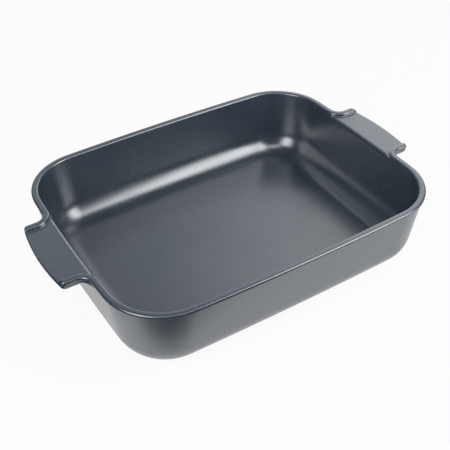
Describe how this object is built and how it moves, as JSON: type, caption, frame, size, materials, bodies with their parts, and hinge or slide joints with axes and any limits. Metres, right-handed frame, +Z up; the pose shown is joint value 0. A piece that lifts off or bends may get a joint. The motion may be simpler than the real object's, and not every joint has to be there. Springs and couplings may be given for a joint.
{
  "type": "rectangular baking dish",
  "caption": "Deep oblong stoneware baking dish with round corners, leaning walls, a raised rim bead and a sunken tab handle on each short side.",
  "frame": {"origin": "under the middle of the dish, on the surface that it stands on", "axes": "+X along the dish from the left handle to the right handle, +Y across the dish towards the back, +Z up"},
  "size_m": [0.4, 0.272, 0.082],
  "materials": {
    "glaze": "satin slate blue-grey glaze",
    "bisque": "bare fired stoneware, matt"
  },
  "bodies": {
    "root": {"basin": "glaze", "front_rim": "glaze", "back_rim": "glaze", "left_handle": "glaze", "right_handle": "glaze", "foot_ring": "bisque"}
  },
  "joints": []
}
